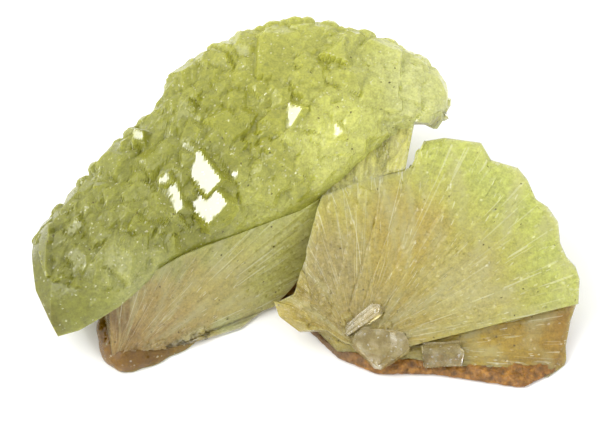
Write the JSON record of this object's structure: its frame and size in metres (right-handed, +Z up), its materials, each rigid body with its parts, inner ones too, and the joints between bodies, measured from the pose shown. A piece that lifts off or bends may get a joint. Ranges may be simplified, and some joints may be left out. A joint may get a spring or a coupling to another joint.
{
  "type": "adamite specimen",
  "caption": "Broken mineral specimen: a ridge of small yellow-green crystals and a radiating fan of flat blades, grown on a thin brown crust that it rests on.",
  "frame": {"origin": "centre of the specimen's bounding box in plan, on the surface that the crust rests on", "axes": "+X along the specimen's length from the ridge's left foot to the fan, +Y towards the back of the ridge, +Z up; the broken faces look towards -Y"},
  "size_m": [0.0561, 0.0372, 0.0207],
  "materials": {
    "ridge_adamite": "gloss",
    "fan_adamite": "gloss",
    "limonite": "matte",
    "clear_adamite": "gloss"
  },
  "bodies": {
    "root": {"ridge_crystals": "ridge_adamite", "fan_crystals": "fan_adamite", "limonite_crust": "limonite", "clear_crystal_point": "clear_adamite", "clear_crystal_block": "clear_adamite", "clear_crystal_blade": "clear_adamite"}
  },
  "joints": []
}
